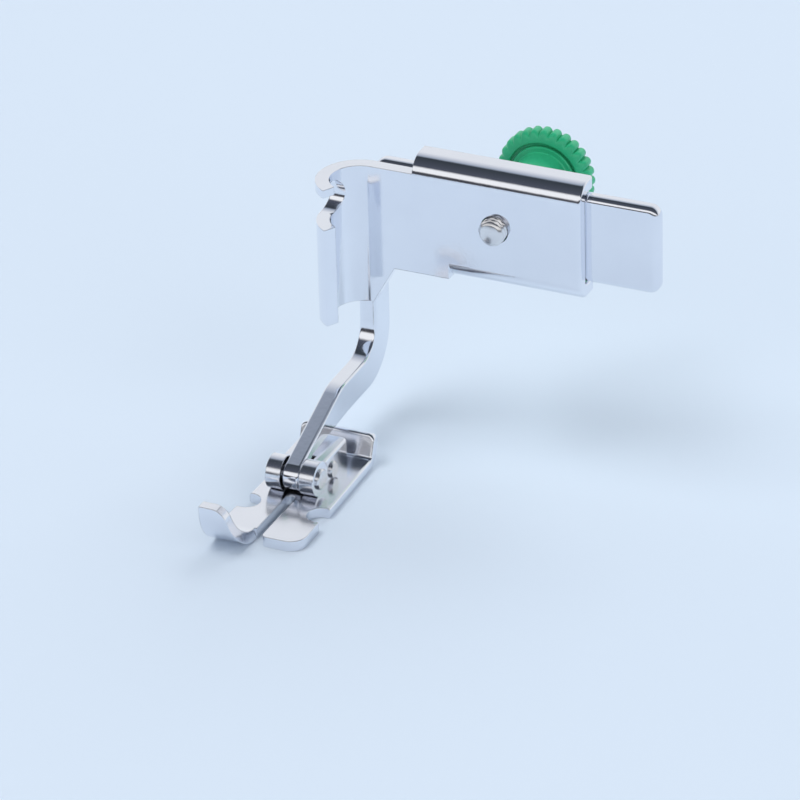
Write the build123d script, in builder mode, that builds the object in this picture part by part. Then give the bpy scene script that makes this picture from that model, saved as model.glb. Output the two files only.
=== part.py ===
"""Adjustable presser foot with a sliding carrier and a hinged foot.

Frame: millimetres, X to the right, Y to the back, Z up. The origin is on the saddle's axis, at the height
of the open slot in its hook.
"""

from build123d import *
from math import cos, radians, sin
import os

os.makedirs("parts", exist_ok=True)

# Holder: saddle, and the plate beside it
bar_radius = 3.0
bar_play = 0.05
sheet = 1.45
saddle_wrap = 150.0
saddle_rise = 2.8
saddle_drop = 13.2
plate_slope = 2.5
clamp_slot_width = 3.8

# Holder: channel round the slide bar
sleeve_left = 4.75
sleeve_length = 19.1
lip_left = 8.8
top_bend_inside = 0.75
lip_bend_inside = 0.4
sleeve_end_round = 0.3

# Slide bar and leg
slide_play = 0.15
slide_thickness = 1.9
slide_height = 10.1
slide_top = 2.9
slide_right = 31.9
slide_edge_round = 0.8
slide_corner_round = 1.2
slide_travel = 7.8
fold_inside = 0.3
fold_root = 2.0
fold_relief = 0.4
tab_top = -0.7
tab_back = 9.5
tab_taper = 4.0
leg_depth = 3.8
leg_elbow_low = -23.6
leg_elbow_inside = -20.0
leg_knee = (-4.0, -20.1)
leg_slope = 21.0
leg_underside = (-3.0, -23.75)
leg_underside_front = (-11.4, -24.4)
leg_elbow_round = 6.0
leg_elbow_inside_round = 3.4
leg_knee_round = 6.0
leg_underside_round = 8.0
leg_corner_round = 0.6
leg_edge_round = 0.3

# Lock screw and knob
screw_x = 14.1
screw_z = -2.0
screw_radius = 1.5
screw_play = 0.05
slot_play = 0.15
screw_stub = 1.2
screw_chamfer = 0.4
knob_hub_radius = 3.0
knob_hub_length = 9.3
knob_gap = 0.05
knob_root_radius = 4.92
knob_rim = 1.8
knob_teeth = 28
knob_tooth_radius = 0.48
knob_groove_radius = 4.05
knob_groove_width = 0.4
knob_groove_depth = 0.5
knob_cap = 0.8

# Sole plate
sole_sheet = 1.2
sole_drop = 28.7
sole_centre = -1.25
sole_half_width = 4.85
sole_rear_half_width = 4.35
foot_centre = -1.6
toe_slot_centre = -1.45
toe_slot_width = 1.1
toe_slot_rear = -15.9
left_toe_bend = -22.9
left_toe_radius = 5.05
left_toe_sweep = 100.0
left_toe_height = 5.6
left_toe_flare = 1.3
left_toe_corner = 1.7
right_toe_front = -24.2
right_toe_flat = 2.1
right_toe_inner_corner = 0.6
needle_line = -17.9
notch_width = 3.0
notch_reach = 2.75
rear_bend = -5.6
rear_bend_radius = 0.5
rear_lean = 22.0
rear_straight = 2.4
rear_corner_round = 0.8
rear_edge_round = 0.3

# Hinge block and pins
hinge_y = -13.9
hinge_height = 3.0
knuckle_radius = 1.9
knuckle_half_width = 2.75
block_half_width = 2.45
block_height = 2.8
block_rear = -6.2
block_round = 0.6
block_edge_round = 0.35
eye_slot_rear = -11.2
eye_radius = 1.65
eye_side_play = 0.15
pin_radius = 0.8
pin_play = 0.05
pin_head_radius = 1.15
pin_head = 0.3
block_pin_radius = 0.6
block_pin_head_radius = 0.95
block_pin_y = -10.2
block_pin_height = 2.2

# Places worked out from the sizes above
saddle_radius = bar_radius + bar_play
plate_front = saddle_radius
plate_middle = plate_front + sheet / 2
plate_back = plate_front + sheet
slide_front = plate_back + slide_play
slide_middle = slide_front + slide_thickness / 2
slide_back = slide_front + slide_thickness
slide_low = slide_top - slide_height
top_middle = slide_top + slide_play + sheet / 2
top_bend_middle = top_bend_inside + sheet / 2
lip_middle = slide_low - slide_play - sheet / 2
lip_low = lip_middle - sheet / 2
lip_bend_middle = lip_bend_inside + sheet / 2
sleeve_right = sleeve_left + sleeve_length
fold_outside = fold_inside + slide_thickness
leg_left = foot_centre - slide_thickness / 2
leg_front = slide_front
leg_back = leg_front + leg_depth
tab_front = slide_front + fold_outside
slide_left = leg_left + fold_outside
sole_low = -sole_drop
sole_middle = sole_low + sole_sheet / 2
sole_top = sole_low + sole_sheet
sole_left = sole_centre - sole_half_width
sole_right = sole_centre + sole_half_width
sole_rear_left = sole_centre - sole_rear_half_width
sole_rear_right = sole_centre + sole_rear_half_width
slot_left = toe_slot_centre - toe_slot_width / 2
slot_right = toe_slot_centre + toe_slot_width / 2
left_toe_middle_radius = left_toe_radius - sole_sheet / 2
toe_tip_height = sole_low + left_toe_height
right_toe_corner = sole_right - slot_right - right_toe_inner_corner - right_toe_flat
rear_middle_radius = rear_bend_radius + sole_sheet / 2
hinge_z = sole_low + hinge_height
block_pin_z = sole_low + block_pin_height
gap_half = slide_thickness / 2 + eye_side_play
eye_top = (hinge_y - eye_radius * sin(radians(leg_slope)), hinge_z + eye_radius * cos(radians(leg_slope)))
knob_front = slide_back + knob_gap
knob_disc_front = knob_front + knob_hub_length
knob_groove_floor = knob_disc_front + knob_groove_depth
knob_back = knob_disc_front + knob_rim
screw_front = plate_front - screw_stub
screw_back = knob_back - knob_cap


# Holder: folded sheet with saddle, plate and channel
with BuildPart() as holder:
    # Hook of the saddle, round its back and left
    with BuildSketch(Plane.XY.offset(-saddle_drop)):
        with BuildLine():
            CenterArc((0, 0), saddle_radius + sheet / 2, 90, saddle_wrap)
        trace(line_width=sheet)
    extrude(amount=saddle_drop + saddle_rise)
    # Plate between the saddle and the channel, sloping down to the foot of the saddle
    with BuildSketch(Plane.XZ.offset(-plate_back)):
        with BuildLine():
            Polyline(
                (0, saddle_rise),
                (0, -saddle_drop),
                (plate_slope, lip_low),
                (sleeve_left, lip_low),
                (sleeve_left, saddle_rise),
                close=True,
            )
        make_face()
    extrude(amount=sheet)
    # Left stretch of the channel, with the top lip alone
    with BuildSketch(Plane.YZ.offset(sleeve_left)):
        with BuildLine():
            left_front = Line((plate_middle, lip_low), (plate_middle, top_middle - top_bend_middle))
            left_bend = JernArc(left_front @ 1, left_front % 1, top_bend_middle, -90)
            Line(left_bend @ 1, (slide_back, top_middle))
        trace(line_width=sheet)
    extrude(amount=lip_left - sleeve_left)
    # Right stretch of the channel, with a lip over and a lip under the slide bar
    with BuildSketch(Plane.YZ.offset(lip_left)):
        with BuildLine():
            lip_run = Line((slide_back, lip_middle), (plate_middle + lip_bend_middle, lip_middle))
            lip_bend = JernArc(lip_run @ 1, lip_run % 1, lip_bend_middle, -90)
            front = Line(lip_bend @ 1, (plate_middle, top_middle - top_bend_middle))
            top_bend = JernArc(front @ 1, front % 1, top_bend_middle, -90)
            Line(top_bend @ 1, (slide_back, top_middle))
        trace(line_width=sheet)
    extrude(amount=sleeve_right - lip_left)
    # Open slot in the hook, where the foot is fastened
    with BuildSketch(Plane.YZ):
        Circle(clamp_slot_width / 2)
        with Locations((-saddle_radius, 0)):
            Rectangle(2 * saddle_radius, clamp_slot_width)
    extrude(amount=-2 * saddle_radius, mode=Mode.SUBTRACT)
    # Tapped hole for the lock screw
    with BuildSketch(Plane.XZ.offset(-plate_back)):
        with Locations((screw_x, screw_z)):
            Circle(screw_radius + screw_play)
    extrude(amount=sheet, mode=Mode.SUBTRACT)
    fillet(holder.edges().group_by(Axis.X)[-1], sleeve_end_round)
holder.part.label = "holder"
export_step(holder.part, "parts/holder.step")


# Slide bar, folded at its left end into the leg
with BuildPart() as slide_bar:
    # Flat bar with rounded edges
    with BuildSketch(Plane.XZ.offset(-slide_back)):
        with Locations(((slide_left + slide_right) / 2, slide_low + slide_height / 2)):
            RectangleRounded(slide_right - slide_left, slide_height, slide_corner_round)
    extrude(amount=slide_thickness)
    fillet(slide_bar.faces().filter_by(Axis.Y).edges(), slide_edge_round)
    # Fold from the bar into the leg's plane
    with BuildSketch(Plane.XY.offset(slide_low)):
        with BuildLine():
            bar_run = Line((fold_root, slide_middle), (leg_left + fold_outside, slide_middle))
            fold = JernArc(bar_run @ 1, bar_run % 1, fold_inside + slide_thickness / 2, -90)
            Line(fold @ 1, (foot_centre, tab_back))
        trace(line_width=slide_thickness)
    extrude(amount=tab_top - slide_low)
    # Leg: down from the tab, forward at the elbow, and down to the hinge eye
    with BuildSketch(Plane.YZ.offset(leg_left)) as leg_side:
        with BuildLine():
            Polyline(
                (tab_front, tab_top),
                (tab_back, tab_top),
                (tab_back, slide_low),
                (leg_back, slide_low - tab_taper),
                (leg_back, leg_elbow_low),
                leg_underside,
                leg_underside_front,
                (hinge_y, hinge_z),
                eye_top,
                leg_knee,
                (leg_front, leg_elbow_inside),
                (leg_front, slide_low - fold_relief),
                (tab_front, slide_low - fold_relief),
                close=True,
            )
        make_face()
        for corner, corner_round in (
            ((leg_back, leg_elbow_low), leg_elbow_round),
            ((leg_front, leg_elbow_inside), leg_elbow_inside_round),
            (leg_knee, leg_knee_round),
            (leg_underside, leg_underside_round),
            ((leg_front, slide_low - fold_relief), leg_corner_round),
            ((tab_back, tab_top), leg_corner_round),
        ):
            fillet(leg_side.vertices().sort_by_distance(corner)[0], corner_round)
        with Locations((hinge_y, hinge_z)):
            Circle(eye_radius)
            Circle(pin_radius + pin_play, mode=Mode.SUBTRACT)
    extrude(amount=slide_thickness)
    fillet(
        slide_bar.edges()
        .filter_by(lambda e: hinge_y + eye_radius < e.center().Y < leg_front)
        .filter_by(lambda e: e.center().Z < slide_low - tab_taper)
        .filter_by(lambda e: abs((e @ 0).X - (e @ 1).X) < leg_edge_round),
        leg_edge_round,
    )
    # Slot that lets the bar shift past the lock screw
    with BuildSketch(Plane.XZ.offset(-slide_back)):
        with Locations((screw_x - slide_travel / 2, screw_z)):
            SlotCenterToCenter(slide_travel, 2 * (screw_radius + slot_play))
    extrude(amount=slide_thickness, mode=Mode.SUBTRACT)
slide_bar.part.label = "slide_bar"
export_step(slide_bar.part, "parts/slide_bar.step")


# Lock screw: stud through the channel and the slide bar's slot
with BuildPart() as lock_screw:
    with BuildSketch(Plane.XZ.offset(-screw_back)):
        with Locations((screw_x, screw_z)):
            Circle(screw_radius)
    extrude(amount=screw_back - screw_front)
    chamfer(lock_screw.edges().group_by(Axis.Y)[0], screw_chamfer)
lock_screw.part.label = "lock_screw"
export_step(lock_screw.part, "parts/lock_screw.step")


# Lock knob: toothed disc with a groove in its front face, and a hub, moulded as one
with BuildPart() as lock_knob:
    with BuildSketch(Plane.XZ.offset(-knob_back)):
        with Locations((screw_x, screw_z)):
            Circle(knob_root_radius)
            with PolarLocations(knob_root_radius, knob_teeth):
                Circle(knob_tooth_radius)
    extrude(amount=knob_rim)
    with BuildSketch(Plane.XZ.offset(-knob_groove_floor)):
        with Locations((screw_x, screw_z)):
            Circle(knob_groove_radius)
            Circle(knob_groove_radius - knob_groove_width, mode=Mode.SUBTRACT)
    extrude(amount=knob_groove_depth, mode=Mode.SUBTRACT)
    with BuildSketch(Plane.XZ.offset(-knob_disc_front)):
        with Locations((screw_x, screw_z)):
            Circle(knob_hub_radius)
    extrude(amount=knob_hub_length)
    with BuildSketch(Plane.XZ.offset(-screw_back)):
        with Locations((screw_x, screw_z)):
            Circle(screw_radius)
    extrude(amount=screw_back - knob_front, mode=Mode.SUBTRACT)
lock_knob.part.label = "lock_knob"
export_step(lock_knob.part, "parts/lock_knob.step")


# Sole plate: pressed sheet with two toes, a notch in each side and a turned-up rear end
with BuildPart() as sole_plate:
    # Left toe, curled up, with the inner corner of its tip rounded
    with BuildSketch(Plane.YZ.offset(sole_left)):
        with BuildLine():
            JernArc((left_toe_bend, sole_middle), (-1, 0), left_toe_middle_radius, -left_toe_sweep)
        trace(line_width=sole_sheet)
    extrude(amount=slot_left - sole_left)
    with BuildSketch(Plane.XZ.offset(-left_toe_bend)) as tip:
        with BuildLine():
            Polyline(
                (sole_left, sole_low),
                (slot_left, sole_low),
                (slot_left - left_toe_flare, toe_tip_height),
                (sole_left, toe_tip_height),
                close=True,
            )
        make_face()
        fillet(tip.vertices().sort_by_distance((slot_left, toe_tip_height))[0], left_toe_corner)
    extrude(amount=2 * left_toe_radius, mode=Mode.INTERSECT)
    # Flat floor, a little narrower at the rear
    with BuildSketch(Plane.XY.offset(sole_low)) as floor:
        with BuildLine():
            Polyline(
                (sole_rear_left, rear_bend),
                (sole_left, left_toe_bend),
                (slot_right, left_toe_bend),
                (slot_right, right_toe_front),
                (sole_right, right_toe_front),
                (sole_rear_right, rear_bend),
                close=True,
            )
        make_face()
        # Slot between the toes
        with Locations((toe_slot_centre, toe_slot_rear)):
            Circle(toe_slot_width / 2, mode=Mode.SUBTRACT)
        with Locations((toe_slot_centre, (toe_slot_rear + right_toe_front) / 2)):
            Rectangle(toe_slot_width, toe_slot_rear - right_toe_front, mode=Mode.SUBTRACT)
        fillet(floor.vertices().sort_by_distance((sole_right, right_toe_front))[0], right_toe_corner)
        fillet(floor.vertices().sort_by_distance((slot_right, right_toe_front))[0], right_toe_inner_corner)
        # Notch in each side
        for side in (-1, 1):
            with Locations((sole_centre + side * (notch_reach + notch_width / 2), needle_line)):
                Circle(notch_width / 2, mode=Mode.SUBTRACT)
            with Locations((sole_centre + side * (notch_reach + notch_width), needle_line)):
                Rectangle(notch_width, notch_width, mode=Mode.SUBTRACT)
    extrude(amount=sole_sheet)
    # Rear end turned up
    with BuildSketch(Plane.YZ.offset(sole_rear_left)):
        with BuildLine():
            rear_arc = JernArc((rear_bend, sole_middle), (1, 0), rear_middle_radius, 90 - rear_lean)
            Line(rear_arc @ 1, rear_arc @ 1 + (rear_arc % 1) * rear_straight)
        trace(line_width=sole_sheet)
    extrude(amount=2 * sole_rear_half_width)
    fillet(
        sole_plate.edges()
        .filter_by(lambda e: abs(e.length - sole_sheet) < sole_sheet / 100)
        .filter_by(lambda e: e.center().Y > rear_bend and e.center().Z > sole_top + rear_straight / 2),
        rear_corner_round,
    )
    fillet(
        sole_plate.edges()
        .filter_by(lambda e: e.center().Y > rear_bend)
        .filter_by(lambda e: e.center().Z > sole_top + rear_straight - rear_corner_round),
        rear_edge_round,
    )
sole_plate.part.label = "sole_plate"
export_step(sole_plate.part, "parts/sole_plate.step")


# Hinge block: two knuckles in front of a flat-topped block
with BuildPart() as hinge_block:
    with BuildSketch(Plane.YZ.offset(foot_centre - block_half_width)):
        with Locations(((hinge_y + block_rear) / 2, sole_top + block_height / 2)):
            Rectangle(block_rear - hinge_y, block_height)
    extrude(amount=2 * block_half_width)
    fillet(hinge_block.edges().filter_by(Axis.Z).group_by(Axis.Y)[-1], block_round)
    fillet(hinge_block.faces().sort_by(Axis.Z)[-1].edges(), block_edge_round)
    # Knuckles, flat where they stand on the sole
    with BuildSketch(Plane.YZ.offset(foot_centre - knuckle_half_width)):
        with Locations((hinge_y, hinge_z)):
            Circle(knuckle_radius)
        with Locations((hinge_y, sole_top - knuckle_radius)):
            Rectangle(2 * knuckle_radius, 2 * knuckle_radius, mode=Mode.SUBTRACT)
    extrude(amount=2 * knuckle_half_width)
    # Slot for the leg's eye
    with BuildSketch(Plane.YZ.offset(foot_centre - gap_half)):
        with Locations((eye_slot_rear - 2 * knuckle_radius, hinge_z)):
            Rectangle(4 * knuckle_radius, 4 * knuckle_radius)
    extrude(amount=2 * gap_half, mode=Mode.SUBTRACT)
    # Holes for the two pins
    with BuildSketch(Plane.YZ.offset(foot_centre - knuckle_half_width)):
        with Locations((hinge_y, hinge_z)):
            Circle(pin_radius)
        with Locations((block_pin_y, block_pin_z)):
            Circle(block_pin_radius)
    extrude(amount=2 * knuckle_half_width, mode=Mode.SUBTRACT)
hinge_block.part.label = "hinge_block"
export_step(hinge_block.part, "parts/hinge_block.step")


# Hinge pin, headed over at both ends
with BuildPart() as hinge_pin:
    with BuildSketch(Plane.YZ.offset(foot_centre - knuckle_half_width)):
        with Locations((hinge_y, hinge_z)):
            Circle(pin_radius)
    extrude(amount=2 * knuckle_half_width)
    with BuildSketch(Plane.YZ.offset(foot_centre + knuckle_half_width)):
        with Locations((hinge_y, hinge_z)):
            Circle(pin_head_radius)
    extrude(amount=pin_head)
    chamfer(hinge_pin.edges().group_by(Axis.X)[-1], pin_head / 2)
    with BuildSketch(Plane.YZ.offset(foot_centre - knuckle_half_width)):
        with Locations((hinge_y, hinge_z)):
            Circle(pin_head_radius)
    extrude(amount=-pin_head)
    chamfer(hinge_pin.edges().group_by(Axis.X)[0], pin_head / 2)
hinge_pin.part.label = "hinge_pin"
export_step(hinge_pin.part, "parts/hinge_pin.step")


# Block pin, across the block behind the hinge, with a round head on the right
with BuildPart() as block_pin:
    with BuildSketch(Plane.YZ.offset(foot_centre - block_half_width)):
        with Locations((block_pin_y, block_pin_z)):
            Circle(block_pin_radius)
    extrude(amount=2 * block_half_width)
    with BuildSketch(Plane.YZ.offset(foot_centre + block_half_width)):
        with Locations((block_pin_y, block_pin_z)):
            Circle(block_pin_head_radius)
    extrude(amount=pin_head)
    chamfer(block_pin.edges().group_by(Axis.X)[-1], pin_head / 2)
block_pin.part.label = "block_pin"
export_step(block_pin.part, "parts/block_pin.step")
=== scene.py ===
"""Dresses the adjustable presser foot: finishes, the threaded stud, the moulded knob and the studio."""

import logging
import math
from dataclasses import dataclass
from enum import Enum
from typing import Any, Dict, Iterable, List, Sequence, Tuple, Union

import bmesh
import bpy
from mathutils import Matrix, Vector


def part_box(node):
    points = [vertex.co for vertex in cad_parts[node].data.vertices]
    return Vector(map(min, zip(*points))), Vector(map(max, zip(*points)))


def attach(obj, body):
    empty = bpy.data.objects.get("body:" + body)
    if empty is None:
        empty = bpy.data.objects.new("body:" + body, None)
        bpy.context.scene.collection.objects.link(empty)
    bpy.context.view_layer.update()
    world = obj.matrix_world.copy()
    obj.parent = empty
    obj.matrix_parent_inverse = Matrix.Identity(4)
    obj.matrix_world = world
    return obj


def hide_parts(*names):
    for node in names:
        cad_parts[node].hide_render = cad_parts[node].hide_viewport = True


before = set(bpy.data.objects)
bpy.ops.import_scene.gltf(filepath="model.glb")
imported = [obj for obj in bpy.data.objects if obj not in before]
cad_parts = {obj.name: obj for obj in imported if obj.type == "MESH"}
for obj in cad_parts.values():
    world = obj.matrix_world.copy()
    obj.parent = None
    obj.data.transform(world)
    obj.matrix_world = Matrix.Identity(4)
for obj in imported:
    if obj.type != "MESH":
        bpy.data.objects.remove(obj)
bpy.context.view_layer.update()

LOG = logging.getLogger("presser_foot")
MM = 0.001

Colour = Tuple[float, float, float, float]
Triple = Tuple[float, float, float]
Sockets = Dict[Union[int, str], Any]


class Body(Enum):
    """Moving body that carries the lock's pieces."""

    LOCK = "lock"


class Node(Enum):
    """Solids that keep their shape and take a finish."""

    HOLDER = "holder"
    SLIDE_BAR = "slide_bar"
    SOLE_PLATE = "sole_plate"
    HINGE_BLOCK = "hinge_block"
    HINGE_PIN = "hinge_pin"
    BLOCK_PIN = "block_pin"


class Slot(Enum):
    """Names for material slots of the lock's pieces; this script gives no piece these slots."""

    SCREW = "screw_steel"
    KNOB = "knob_plastic"


class Wire:
    """A node socket whose arithmetic adds Math nodes."""

    def __init__(self, graph: "Graph", socket: bpy.types.NodeSocket) -> None:
        """Keeps the socket and the graph that it belongs to."""
        self.graph = graph
        self.socket = socket

    def _math(self, operation: str, first: Any, second: Any) -> "Wire":
        """Adds one Math node for two values or wires and hands back its result."""
        return self.graph.add("ShaderNodeMath", {"operation": operation}, {0: first, 1: second})

    def __add__(self, other: Any) -> "Wire":
        """Sum."""
        return self._math("ADD", self, other)

    def __radd__(self, other: Any) -> "Wire":
        """Sum with a number in front."""
        return self._math("ADD", other, self)

    def __sub__(self, other: Any) -> "Wire":
        """Difference."""
        return self._math("SUBTRACT", self, other)

    def __rsub__(self, other: Any) -> "Wire":
        """Difference from a number in front."""
        return self._math("SUBTRACT", other, self)

    def __mul__(self, other: Any) -> "Wire":
        """Product."""
        return self._math("MULTIPLY", self, other)

    def __rmul__(self, other: Any) -> "Wire":
        """Product with a number in front."""
        return self._math("MULTIPLY", other, self)

    def __pow__(self, other: Any) -> "Wire":
        """Power."""
        return self._math("POWER", self, other)

    def __rpow__(self, other: Any) -> "Wire":
        """Power of a number in front."""
        return self._math("POWER", other, self)


@dataclass(frozen=True)
class Grain:
    """Noise: features per metre, octaves, and the share kept by each octave."""

    per_m: float
    octaves: float
    kept: float


class Graph:
    """One node tree with a single way of adding nodes."""

    def __init__(self, tree: bpy.types.NodeTree) -> None:
        """Clears the tree and keeps it."""
        self.tree = tree
        self.tree.nodes.clear()

    def add(
        self,
        kind: str,
        settings: Dict[str, Any] | None = None,
        inputs: Sockets | None = None,
        output: Union[int, str] = 0,
    ) -> Wire:
        """Adds a node, sets it up, then fills its sockets.

        Args:
            kind: Blender's node type.
            settings: Properties of the node, set first. "stops" holds a ramp's positions and colours.
            inputs: Values or wires by socket name or number.
            output: Name or number of the output to hand back.

        Returns:
            The chosen output, or the first input of a node without outputs.
        """
        node = self.tree.nodes.new(kind)
        for name, value in (settings or {}).items():
            if name == "stops":
                self._ramp(node, value)
            else:
                setattr(node, name, value)
        for key, value in (inputs or {}).items():
            if isinstance(value, Wire):
                self.tree.links.new(value.socket, node.inputs[key])
            else:
                node.inputs[key].default_value = value
        return Wire(self, node.outputs[output]) if len(node.outputs) else Wire(self, node.inputs[0])

    @staticmethod
    def _ramp(node: bpy.types.Node, stops: Sequence[Tuple[float, Colour]]) -> None:
        """Writes a colour ramp's stops.

        Args:
            node: The ramp node.
            stops: Positions with their colours, in order.
        """
        elements = node.color_ramp.elements
        while len(elements) < len(stops):
            elements.new(1.0)
        for element, (position, colour) in zip(elements, stops):
            element.position = position
            element.color = colour

    def noise(self, place: Wire, grain: Grain) -> Wire:
        """Adds a noise texture.

        Args:
            place: Coordinates in metres.
            grain: Size and detail of the noise.

        Returns:
            The noise value, about 0 to 1.
        """
        sockets = {"Vector": place, "Scale": grain.per_m, "Detail": grain.octaves, "Roughness": grain.kept}
        return self.add("ShaderNodeTexNoise", {"noise_dimensions": "3D"}, sockets, "Fac")

    def mix(self, factor: Wire, low: Colour, high: Colour) -> Wire:
        """Adds a mix from the low colour, at a factor of 0, to the high one."""
        return self.add("ShaderNodeMix", {"data_type": "RGBA"}, {0: factor, 6: low, 7: high}, 2)

    def bump(self, height: Wire, sockets: Sockets | None = None) -> Wire:
        """Adds a bump of a height in metres, with any further sockets, and hands back the normal."""
        filled = {"Strength": 1.0, "Distance": 1.0, "Height": height, **(sockets or {})}
        return self.add("ShaderNodeBump", None, filled, "Normal")

    def surface(self, sockets: Sockets) -> None:
        """Adds the shader with its sockets and joins it to the output."""
        shader = self.add("ShaderNodeBsdfPrincipled", None, sockets)
        self.add("ShaderNodeOutputMaterial", None, {"Surface": shader})


def new_material(name: str) -> Tuple[bpy.types.Material, Graph]:
    """Makes an empty node material.

    Args:
        name: The material's name.

    Returns:
        The material and its graph.
    """
    material = bpy.data.materials.new(name)
    material.use_nodes = True
    return material, Graph(material.node_tree)


@dataclass(frozen=True)
class PlatedSteel:
    """Bright plated steel with faint mottling, handling smears and polishing lines."""

    name: str
    light: Colour
    dark: Colour
    gloss: float
    smear: float
    mottle: Grain
    mottle_depth: float
    line_stretch: Triple
    line_depth: float
    edge_round: float
    clouds: Grain = Grain(140.0, 4.0, 0.55)
    cloud_contrast: float = 3.0
    cloud_share: float = 0.5
    smears: Grain = Grain(420.0, 5.0, 0.62)
    smear_contrast: float = 2.0
    lines: Grain = Grain(1.0, 3.0, 0.6)
    edge_samples: int = 8

    def make(self) -> bpy.types.Material:
        """Builds the material.

        Returns:
            The finished material.
        """
        material, graph = new_material(self.name)
        place = graph.add("ShaderNodeTexCoord", output="Object")
        clouds = graph.noise(place, self.clouds)
        smears = graph.noise(place, self.smears)
        mottle = graph.noise(place, self.mottle)
        stretched = graph.add(
            "ShaderNodeMapping", {"vector_type": "POINT"}, {"Vector": place, "Scale": self.line_stretch}
        )
        lines = graph.noise(stretched, self.lines)
        smeared = self.smear * (smears ** self.smear_contrast)
        clouded = self.cloud_share * self.smear * (clouds ** self.cloud_contrast)
        height = mottle * self.mottle_depth + lines * self.line_depth
        rounded = graph.add(
            "ShaderNodeBevel", {"samples": self.edge_samples}, {"Radius": self.edge_round}, "Normal"
        )
        graph.surface(
            {
                "Base Color": graph.mix(clouds, self.dark, self.light),
                "Metallic": 1.0,
                "Roughness": self.gloss + smeared + clouded,
                "Normal": graph.bump(height, {"Normal": rounded}),
            }
        )
        return material


@dataclass(frozen=True)
class MouldedPlastic:
    """Glossy moulded plastic with flow marks, scuffs and a fine skin."""

    name: str
    light: Colour
    dark: Colour
    gloss: float
    skin_depth: float
    flow: Grain = Grain(260.0, 4.0, 0.6)
    skin: Grain = Grain(5200.0, 3.0, 0.6)
    scuffs: Grain = Grain(900.0, 6.0, 0.7)
    scuff: float = 0.16
    scuff_contrast: float = 2.0
    refraction: float = 1.5

    def make(self) -> bpy.types.Material:
        """Builds the material.

        Returns:
            The finished material.
        """
        material, graph = new_material(self.name)
        place = graph.add("ShaderNodeTexCoord", output="Object")
        flow = graph.noise(place, self.flow)
        skin = graph.noise(place, self.skin)
        scuffs = graph.noise(place, self.scuffs)
        graph.surface(
            {
                "Base Color": graph.mix(flow, self.dark, self.light),
                "Roughness": self.gloss + self.scuff * (scuffs ** self.scuff_contrast),
                "Normal": graph.bump(skin * self.skin_depth),
                "IOR": self.refraction,
            }
        )
        return material


@dataclass(frozen=True)
class FloorPaper:
    """Plain pale studio paper."""

    name: str
    colour: Colour
    roughness: float

    def make(self) -> bpy.types.Material:
        """Builds the material.

        Returns:
            The finished material.
        """
        material, graph = new_material(self.name)
        graph.surface({"Base Color": self.colour, "Roughness": self.roughness})
        return material


SHEET_PLATE = PlatedSteel(
    name="nickel_plate_on_sheet",
    light=(0.88, 0.90, 0.95, 1.0),
    dark=(0.78, 0.80, 0.86, 1.0),
    gloss=0.06,
    smear=0.12,
    mottle=Grain(1500.0, 2.0, 0.5),
    mottle_depth=3.6e-6,
    line_stretch=(260.0, 260.0, 5200.0),
    line_depth=0.35e-6,
    edge_round=0.12 * MM,
)
FOOT_PLATE = PlatedSteel(
    name="nickel_plate_on_sole",
    light=(0.88, 0.90, 0.95, 1.0),
    dark=(0.78, 0.80, 0.86, 1.0),
    gloss=0.14,
    smear=0.14,
    mottle=Grain(1900.0, 2.0, 0.5),
    mottle_depth=2.8e-6,
    line_stretch=(6000.0, 320.0, 6000.0),
    line_depth=0.4e-6,
    edge_round=0.15 * MM,
)
TURNED_STEEL = PlatedSteel(
    name="bright_turned_steel",
    light=(0.86, 0.86, 0.87, 1.0),
    dark=(0.70, 0.70, 0.72, 1.0),
    gloss=0.16,
    smear=0.16,
    mottle=Grain(2400.0, 2.0, 0.5),
    mottle_depth=1.2e-6,
    line_stretch=(700.0, 9000.0, 700.0),
    line_depth=0.8e-6,
    edge_round=0.05 * MM,
)
KNOB_GREEN = MouldedPlastic(
    name="green_moulded_plastic",
    light=(0.05, 0.57, 0.29, 1.0),
    dark=(0.015, 0.37, 0.165, 1.0),
    gloss=0.28,
    skin_depth=1.2e-6,
)
PAPER = FloorPaper(name="pale_paper", colour=(0.725, 0.83, 0.95, 1.0), roughness=0.85)


def new_piece(name: str, mesh: bmesh.types.BMesh, smooth_below: float = 30.0) -> bpy.types.Object:
    """Turns a bmesh into an object with smooth shading up to an angle.

    Args:
        name: The piece's name.
        mesh: Finished bmesh, freed here.
        smooth_below: Angle in degrees above which an edge stays sharp.

    Returns:
        The linked object.
    """
    bmesh.ops.recalc_face_normals(mesh, faces=mesh.faces)
    data = bpy.data.meshes.new(name)
    mesh.to_mesh(data)
    mesh.free()
    data.shade_smooth()
    data.set_sharp_from_angle(angle=math.radians(smooth_below))
    piece = bpy.data.objects.new(name, data)
    bpy.context.scene.collection.objects.link(piece)
    return piece


def turned_ring(axis: Vector, y: float, radii: Sequence[float]) -> List[Vector]:
    """Makes a closed ring of points round an axis along Y.

    Args:
        axis: Any point of the axis.
        y: The ring's place along the axis.
        radii: Distance of each point from the axis, in even steps of angle from +X.

    Returns:
        The ring's points.
    """
    ring = []
    for step, radius in enumerate(radii):
        angle = 2.0 * math.pi * step / len(radii)
        ring.append(Vector((axis.x + radius * math.cos(angle), y, axis.z + radius * math.sin(angle))))
    return ring


def skin_rings(mesh: bmesh.types.BMesh, rings: Sequence[Sequence[Vector]]) -> None:
    """Joins closed rings of equal count into a skin, with a cap on the first and the last.

    Args:
        mesh: Mesh that takes the faces.
        rings: Rings of points, in order.
    """
    loops = [[mesh.verts.new(point) for point in ring] for ring in rings]
    count = len(loops[0])
    for lower, upper in zip(loops, loops[1:]):
        for i in range(count):
            j = (i + 1) % count
            mesh.faces.new((lower[i], lower[j], upper[j], upper[i]))
    for loop in (loops[0], loops[-1]):
        middle = mesh.verts.new(sum((v.co for v in loop), Vector()) / count)
        for i in range(count):
            mesh.faces.new((loop[i], loop[(i + 1) % count], middle))


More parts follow.
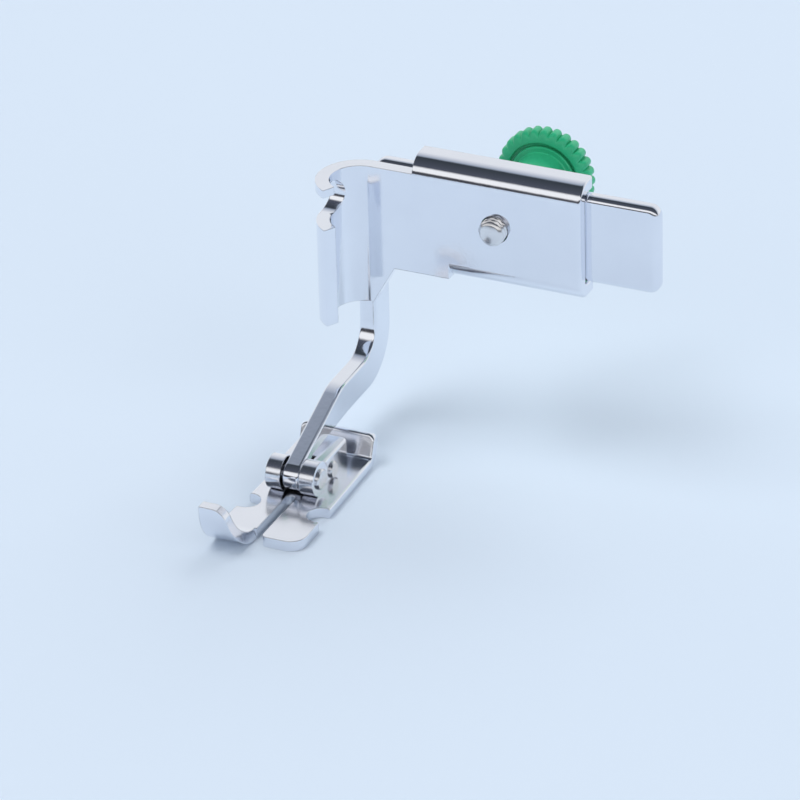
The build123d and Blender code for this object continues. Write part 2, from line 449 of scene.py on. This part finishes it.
def dress(
    node: Node,
    material: bpy.types.Material,
    join_within: float = 0.001 * MM,
    flat_within: float = 0.4,
    sharp_above: float = 28.0,
    flat_weight: int = 100,
) -> None:
    """Gives a solid its finish, with bends that shade smoothly and flats that stay flat.

    Args:
        node: The solid.
        material: Its finish.
        join_within: Distance in metres at which the edges of its faces are joined.
        flat_within: Angle in degrees up to which faces count as one flat.
        sharp_above: Angle in degrees above which an edge stays sharp.
        flat_weight: Pull of the large faces on the shading, up to 100.
    """
    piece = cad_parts[node.value]
    piece.data.materials.clear()
    piece.data.materials.append(material)
    piece.data.shade_smooth()
    join = piece.modifiers.new("joined_faces", "WELD")
    join.merge_threshold = join_within
    flats = piece.modifiers.new("whole_flats", "DECIMATE")
    flats.decimate_type = "DISSOLVE"
    flats.angle_limit = math.radians(flat_within)
    corners = piece.modifiers.new("sharp_corners", "EDGE_SPLIT")
    corners.split_angle = math.radians(sharp_above)
    normals = piece.modifiers.new("flat_shading", "WEIGHTED_NORMAL")
    normals.mode = "FACE_AREA"
    normals.weight = flat_weight
    LOG.info("dressed %s", node.value)


@dataclass
class Holder:
    """Folded sheet with the saddle and the channel."""

    finish: PlatedSteel = SHEET_PLATE

    def build(self) -> None:
        """Dresses the folded sheet."""
        dress(Node.HOLDER, self.finish.make())


@dataclass
class Carrier:
    """Slide bar with the leg."""

    finish: PlatedSteel = SHEET_PLATE

    def build(self) -> None:
        """Dresses the slide bar."""
        dress(Node.SLIDE_BAR, self.finish.make())


@dataclass
class Foot:
    """Sole, hinge block and pins."""

    sole_finish: PlatedSteel = FOOT_PLATE
    pin_finish: PlatedSteel = TURNED_STEEL

    def build(self) -> None:
        """Dresses the foot's solids."""
        plate = self.sole_finish.make()
        pins = self.pin_finish.make()
        dress(Node.SOLE_PLATE, plate)
        dress(Node.HINGE_BLOCK, plate)
        dress(Node.HINGE_PIN, pins)
        dress(Node.BLOCK_PIN, pins)


@dataclass
class LockScrew:
    """Threaded stud of the lock."""

    thread_pitch: float = 0.5 * MM
    thread_depth: float = 0.3 * MM
    flank_steepness: float = 1.25
    rows_per_pitch: int = 10
    turn_steps: int = 48
    tip_length: float = 0.4 * MM
    tip_drop: float = 0.45 * MM
    tip_curve: float = 1.5
    smooth_below: float = 50.0
    finish: PlatedSteel = TURNED_STEEL

    def build(self) -> None:
        """Builds the threaded stud in the place of its plain solid."""
        low, high = (Vector(corner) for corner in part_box("lock_screw"))
        axis = (low + high) / 2
        radius = (high.x - low.x) / 2
        length = high.y - low.y
        rows = int(length / (self.thread_pitch / self.rows_per_pitch))
        rings: List[List[Vector]] = []
        for row in range(rows + 1):
            along = length * row / rows
            turns = (step / self.turn_steps for step in range(self.turn_steps))
            radii = [self._thread_radius(radius, along, turn) for turn in turns]
            rings.append(turned_ring(axis, low.y + along, radii))
        mesh = bmesh.new()
        skin_rings(mesh, rings)
        piece = new_piece("lock_screw_thread", mesh, self.smooth_below)
        piece.data.materials.append(self.finish.make())
        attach(piece, Body.LOCK.value)
        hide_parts("lock_screw")
        LOG.info("built %s", piece.name)

    def _thread_radius(self, radius: float, along: float, turn: float) -> float:
        """Works out the thread's radius at one point.

        Args:
            radius: Outer radius of the thread.
            along: Distance from the stud's front end.
            turn: Share of a full turn round the axis.

        Returns:
            The radius, smaller in the grooves and at the rounded tip.
        """
        phase = (along / self.thread_pitch + turn) % 1.0
        groove = min(1.0, self.flank_steepness * abs(2.0 * phase - 1.0))
        tip = 1.0 - min(1.0, along / self.tip_length)
        return min(radius - self.thread_depth * groove, radius - self.tip_drop * tip ** self.tip_curve)


@dataclass
class LockKnob:
    """Moulded knob of the lock: a hub, a grooved face, a rounded shoulder and a toothed rim."""

    teeth: int = 28
    tooth_steps: int = 12
    tooth_depth: float = 0.48 * MM
    tooth_fullness: float = 2.6
    rim_width: float = 1.8 * MM
    bore_radius: float = 1.5 * MM
    bore_floor: float = 0.8 * MM
    hub_radius: float = 3.0 * MM
    groove_radius: float = 4.05 * MM
    groove_width: float = 0.4 * MM
    groove_depth: float = 0.5 * MM
    edge_round: float = 0.1 * MM
    shoulder_depth: float = 0.7 * MM
    shoulder_steps: int = 8
    tooth_fade: float = 2.0
    back_round: float = 0.2 * MM
    back_round_middle: float = 0.06 * MM
    smooth_below: float = 40.0
    finish: MouldedPlastic = KNOB_GREEN

    def build(self) -> None:
        """Builds the knob in the place of its plain solid."""
        low, high = (Vector(corner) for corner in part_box("lock_knob"))
        axis = (low + high) / 2
        notches = [self.tooth_depth * self._notch(step) for step in range(self.teeth * self.tooth_steps)]
        rings = [
            turned_ring(axis, y, [radius - share * notch for notch in notches])
            for y, radius, share in self._section(low.y, high.y, (high.x - low.x) / 2)
        ]
        mesh = bmesh.new()
        skin_rings(mesh, rings)
        piece = new_piece("lock_knob_moulded", mesh, self.smooth_below)
        piece.data.materials.append(self.finish.make())
        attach(piece, Body.LOCK.value)
        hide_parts("lock_knob")
        LOG.info("built %s", piece.name)

    def _notch(self, step: int) -> float:
        """Works out how deep the rim is cut at one step round it.

        Args:
            step: Count of steps from the crest of the first tooth.

        Returns:
            0 at a crest and 1 between two teeth.
        """
        phase = step % self.tooth_steps / self.tooth_steps
        return (2.0 * min(phase, 1.0 - phase)) ** self.tooth_fullness

    def _section(self, front: float, back: float, radius: float) -> List[Triple]:
        """Lists the knob's section, from the floor of its bore round to its back.

        Args:
            front: Place of the hub's free end along the axis.
            back: Place of the knob's back along the axis.
            radius: Outer radius of the teeth.

        Returns:
            Places along the axis, radii and shares of the tooth depth.
        """
        edge = self.edge_round
        face = back - self.rim_width
        groove_floor = face + self.groove_depth
        groove_inside = self.groove_radius - self.groove_width
        section = [
            (back - self.bore_floor, self.bore_radius, 0.0),
            (front, self.bore_radius, 0.0),
            (front, self.hub_radius - edge, 0.0),
            (front + edge, self.hub_radius, 0.0),
            (face - edge, self.hub_radius, 0.0),
            (face, self.hub_radius + edge, 0.0),
            (face, groove_inside - edge, 0.0),
            (face + edge, groove_inside, 0.0),
            (groove_floor, groove_inside, 0.0),
            (groove_floor, self.groove_radius, 0.0),
            (face + edge, self.groove_radius, 0.0),
        ]
        shoulder_inside = self.groove_radius + edge
        for step in range(self.shoulder_steps + 1):
            turn = 0.5 * math.pi * step / self.shoulder_steps
            swell = math.sin(turn)
            y = face + self.shoulder_depth * (1.0 - math.cos(turn))
            swollen = shoulder_inside + (radius - shoulder_inside) * swell
            section.append((y, swollen, swell ** self.tooth_fade))
        section += [
            (back - self.back_round, radius, 1.0),
            (back - self.back_round_middle, radius - self.back_round_middle, 1.0),
            (back, radius - self.back_round, 1.0),
            (back, radius - 2.0 * self.back_round, 1.0),
        ]
        return section


@dataclass(frozen=True)
class Lamp:
    """Soft square lamp: its place and side in metres, and its power in watts."""

    name: str
    place: Triple
    side: float
    power: float

    def hang(self, aim: Vector) -> None:
        """Hangs the lamp so that it faces a point.

        Args:
            aim: The point that it lights.
        """
        data = bpy.data.lights.new(self.name, "AREA")
        data.shape = "SQUARE"
        data.size = self.side
        data.energy = self.power
        lamp = bpy.data.objects.new(self.name, data)
        lamp.visible_glossy = False
        lamp.location = self.place
        lamp.rotation_euler = (aim - Vector(self.place)).to_track_quat("-Z", "Y").to_euler()
        bpy.context.scene.collection.objects.link(lamp)


@dataclass
class Studio:
    """Pale floor, soft lamps, surroundings and camera."""

    floor_height: float = -28.7 * MM
    floor_half: float = 3.0
    aim: Triple = (0.005, -0.005, -0.012)
    lamps: Tuple[Lamp, ...] = (
        Lamp("key", (-0.30, -0.22, 0.90), 0.55, 4.2),
        Lamp("fill", (0.75, -0.25, 0.45), 0.6, 1.65),
        Lamp("rim", (0.15, 0.75, 0.55), 0.6, 2.2),
    )
    # Degrees from the front horizon, up over the object and down to the back, with the colour there
    bands: Tuple[Tuple[float, Colour], ...] = (
        (-180.0, (0.85, 0.88, 0.92, 1.0)),
        (-14.4, (0.60, 0.64, 0.70, 1.0)),
        (-3.6, (0.05, 0.05, 0.06, 1.0)),
        (11.52, (0.07, 0.07, 0.08, 1.0)),
        (16.2, (1.0, 1.0, 1.0, 1.0)),
        (36.0, (1.0, 1.0, 1.0, 1.0)),
        (45.0, (0.08, 0.09, 0.12, 1.0)),
        (99.0, (0.04, 0.05, 0.06, 1.0)),
        (108.0, (0.38, 0.43, 0.52, 1.0)),
        (126.0, (0.66, 0.69, 0.75, 1.0)),
        (140.4, (0.84, 0.86, 0.89, 1.0)),
        (180.0, (0.92, 0.94, 0.96, 1.0)),
    )
    eye: Triple = (0.241285, -0.508059, 0.285955)
    right: Triple = (0.91139, 0.41083, -0.02397)
    up: Triple = (-0.17911, 0.44844, 0.87569)
    back: Triple = (0.37051, -0.79380, 0.48229)
    lens: float = 271.24
    film_width: float = 36.0
    nearest_seen: float = 0.01

    def build(self) -> None:
        """Builds floor, lamps, surroundings and camera."""
        self._floor()
        for lamp in self.lamps:
            lamp.hang(Vector(self.aim))
        self._surroundings()
        self._camera()

    def _floor(self) -> None:
        """Lays the pale floor under the sole."""
        mesh = bmesh.new()
        half = self.floor_half
        outline = ((-half, -half), (half, -half), (half, half), (-half, half))
        mesh.faces.new([mesh.verts.new((x, y, self.floor_height)) for x, y in outline])
        floor = new_piece("floor", mesh)
        floor.data.materials.append(PAPER.make())

    def _surroundings(self) -> None:
        """Makes what the metal reflects: a front softbox, a dark ceiling and a pale backdrop."""
        world = bpy.data.worlds.new("studio")
        world.use_nodes = True
        bpy.context.scene.world = world
        graph = Graph(world.node_tree)
        direction = graph.add("ShaderNodeTexCoord", output="Generated")
        depth = graph.add("ShaderNodeSeparateXYZ", None, {0: direction}, "Y")
        height = graph.add("ShaderNodeSeparateXYZ", None, {0: direction}, "Z")
        sweep = graph.add("ShaderNodeMath", {"operation": "ARCTAN2"}, {0: height, 1: depth * -1.0})
        stops = [(0.5 + degrees / 360.0, colour) for degrees, colour in self.bands]
        turn = sweep * (0.5 / math.pi) + 0.5
        colours = graph.add("ShaderNodeValToRGB", {"stops": stops}, {"Fac": turn}, "Color")
        light = graph.add("ShaderNodeBackground", None, {"Color": colours, "Strength": 1.0})
        graph.add("ShaderNodeOutputWorld", None, {"Surface": light})

    def _camera(self) -> None:
        """Places the camera where the photograph was taken from."""
        data = bpy.data.cameras.new("camera")
        data.lens = self.lens
        data.sensor_width = self.film_width
        data.clip_start = self.nearest_seen
        camera = bpy.data.objects.new("camera", data)
        turn = Matrix((self.right, self.up, self.back)).transposed()
        camera.matrix_world = Matrix.Translation(self.eye) @ turn.to_4x4()
        bpy.context.scene.collection.objects.link(camera)
        bpy.context.scene.camera = camera


def main() -> None:
    """Builds the studio and each sub-assembly in order."""
    logging.basicConfig(level=logging.INFO)
    bpy.context.scene.view_settings.view_transform = "Standard"
    for assembly in (Studio(), Holder(), Carrier(), LockScrew(), LockKnob(), Foot()):
        assembly.build()
        LOG.info("finished %s", type(assembly).__name__)


if __name__ == "__main__":
    main()
